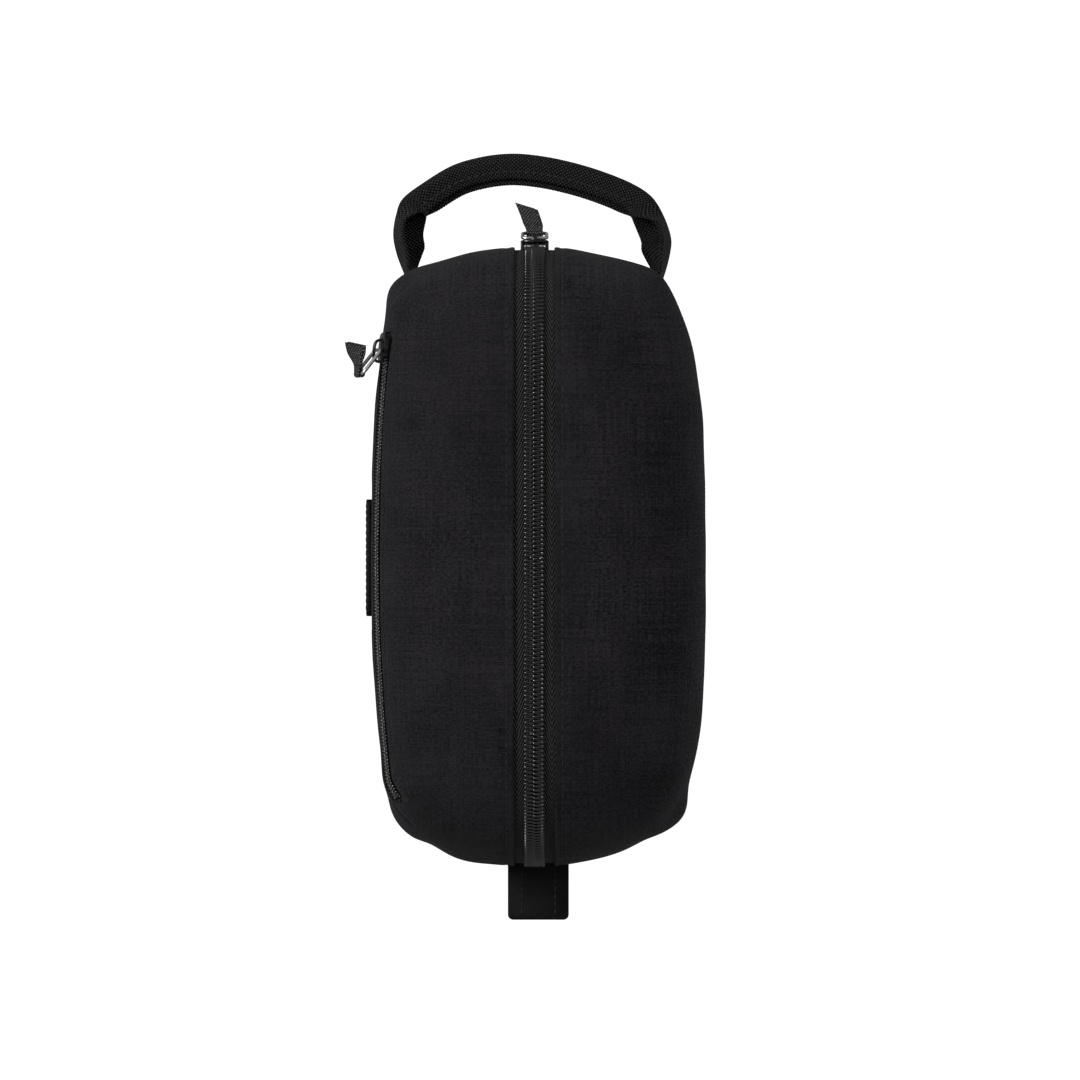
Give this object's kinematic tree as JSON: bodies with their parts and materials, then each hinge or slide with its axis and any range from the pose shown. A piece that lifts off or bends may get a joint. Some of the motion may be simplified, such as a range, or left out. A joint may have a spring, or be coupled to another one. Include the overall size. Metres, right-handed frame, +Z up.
{
  "type": "shaving kit bag",
  "caption": "Boxed black fabric toiletry bag with a two-sided top zip over both ends, a zipped front pocket, a folded webbing handle and a leather end tab.",
  "frame": {"origin": "middle of the flat base, under the main zip", "axes": "+X along the bag from the webbing handle at -X to the leather tab at +X, the zipped pocket faces -Y, +Z up"},
  "size_m": [0.3188, 0.1445, 0.1183],
  "materials": {
    "fabric": "fine plain-woven black nylon with faint pale flecks, matt",
    "lining": "thin grey lining cloth",
    "webbing": "ribbed black nylon webbing and binding",
    "ribbon": "black grosgrain ribbon",
    "leather": "smooth black leather",
    "coil": "black nylon coil, satin",
    "tape": "herringbone zip tape",
    "metal": "gunmetal plated sliders and wire rings, worn brighter on the edges",
    "board": "stiffener board inside the base"
  },
  "bodies": {
    "root": {"back_panel": "fabric", "base_board": "board", "base_panel": "fabric", "front_top_panel": "fabric", "handle_anchor_back": "webbing", "handle_anchor_front": "webbing", "handle_end_binding": "webbing", "handle_end_lower_panel": "fabric", "lining": "lining", "main_coil_back_handle_end": "coil", "main_coil_back_tab_end": "coil", "main_coil_front_handle_end": "coil", "main_coil_front_tab_end": "coil", "main_handle_end_stop": "metal", "main_tab_end_stop": "metal", "main_tape_back_handle_end": "tape", "main_tape_back_tab_end": "tape", "main_tape_front_handle_end": "tape", "main_tape_front_tab_end": "tape", "pocket_backing": "lining", "pocket_coil_lower_handle_end": "coil", "pocket_coil_lower_tab_end": "coil", "pocket_coil_upper": "coil", "pocket_panel_handle_side": "fabric", "pocket_panel_tab_side": "fabric", "pocket_tape_lower_handle_end": "tape", "pocket_tape_lower_tab_end": "tape", "pocket_tape_upper": "tape", "tab_end_binding": "webbing", "tab_end_lower_panel": "fabric"},
    "front_flap": {"front_mouth_panel": "fabric", "front_mouth_lining": "lining", "main_coil_front_mouth": "coil", "main_tape_front_mouth": "tape"},
    "back_flap": {"back_mouth_panel": "fabric", "back_mouth_lining": "lining", "main_coil_back_mouth": "coil", "main_tape_back_mouth": "tape"},
    "main_slider": {"main_slider": "metal"},
    "main_ring": {"main_pull_ring": "metal"},
    "main_ribbon": {"main_pull_ribbon": "ribbon"},
    "pocket_slider": {"pocket_slider": "metal"},
    "pocket_ring": {"pocket_pull_ring": "metal"},
    "pocket_ribbon": {"pocket_pull_ribbon": "ribbon"},
    "pocket_flap": {"pocket_panel": "fabric", "label_patch": "leather", "pocket_coil_lower_mouth": "coil", "pocket_tape_lower_mouth": "tape"},
    "handle": {"handle_webbing": "webbing"},
    "tab": {"end_tab": "leather"}
  },
  "joints": [
    {"name": "front_mouth", "type": "hinge", "parent": "root", "child": "front_flap", "pos_m": [0, -0.044, 0.1128], "axis": [1, 0, 0], "range_deg": [0, 80]},
    {"name": "back_mouth", "type": "hinge", "parent": "root", "child": "back_flap", "pos_m": [0, 0.044, 0.114], "axis": [-1, 0, 0], "range_deg": [0, 80]},
    {"name": "main_slider_travel", "type": "hinge", "parent": "root", "child": "main_slider", "pos_m": [-0.0805, 0, 0.071], "axis": [0, 1, 0], "range_deg": [0, 90]},
    {"name": "main_pull_swing", "type": "hinge", "parent": "main_slider", "child": "main_ring", "pos_m": [-0.131, 0, 0.0726], "axis": [0, -1, 0], "range_deg": [-125, 5]},
    {"name": "main_ribbon_swing", "type": "hinge", "parent": "main_ring", "child": "main_ribbon", "pos_m": [-0.13423, 0, 0.06053], "axis": [0, -1, 0], "range_deg": [-35, 50]},
    {"name": "pocket_slider_travel", "type": "hinge", "parent": "root", "child": "pocket_slider", "pos_m": [0, 0.7857, 0.09], "axis": [0, 0, 1], "range_deg": [0, 11.9]},
    {"name": "pocket_pull_swing", "type": "hinge", "parent": "pocket_slider", "child": "pocket_ring", "pos_m": [-0.08403, -0.06314, 0.09103], "axis": [-0.0326, -0.3239, -0.9455], "range_deg": [-23, 137]},
    {"name": "pocket_ribbon_swing", "type": "hinge", "parent": "pocket_ring", "child": "pocket_ribbon", "pos_m": [-0.07424, -0.07059, 0.09324], "axis": [-0.0326, -0.3239, -0.9455], "range_deg": [-137, 23]},
    {"name": "pocket_mouth", "type": "hinge", "parent": "root", "child": "pocket_flap", "pos_m": [0, -0.062, 0.014], "axis": [1, 0, 0], "range_deg": [0, 10]},
    {"name": "handle_swing", "type": "hinge", "parent": "root", "child": "handle", "pos_m": [-0.131, 0, 0.056], "axis": [0, 1, 0], "range_deg": [-75, 60]},
    {"name": "tab_flex", "type": "hinge", "parent": "root", "child": "tab", "pos_m": [0.13, 0, 0.05], "axis": [0, 1, 0], "range_deg": [-35, 35], "stiffness_Nm_per_rad": 0.02}
  ],
  "couplings": [
    {"joint": "pocket_ribbon_swing", "follows": "pocket_pull_swing", "ratio": -1}
  ]
}
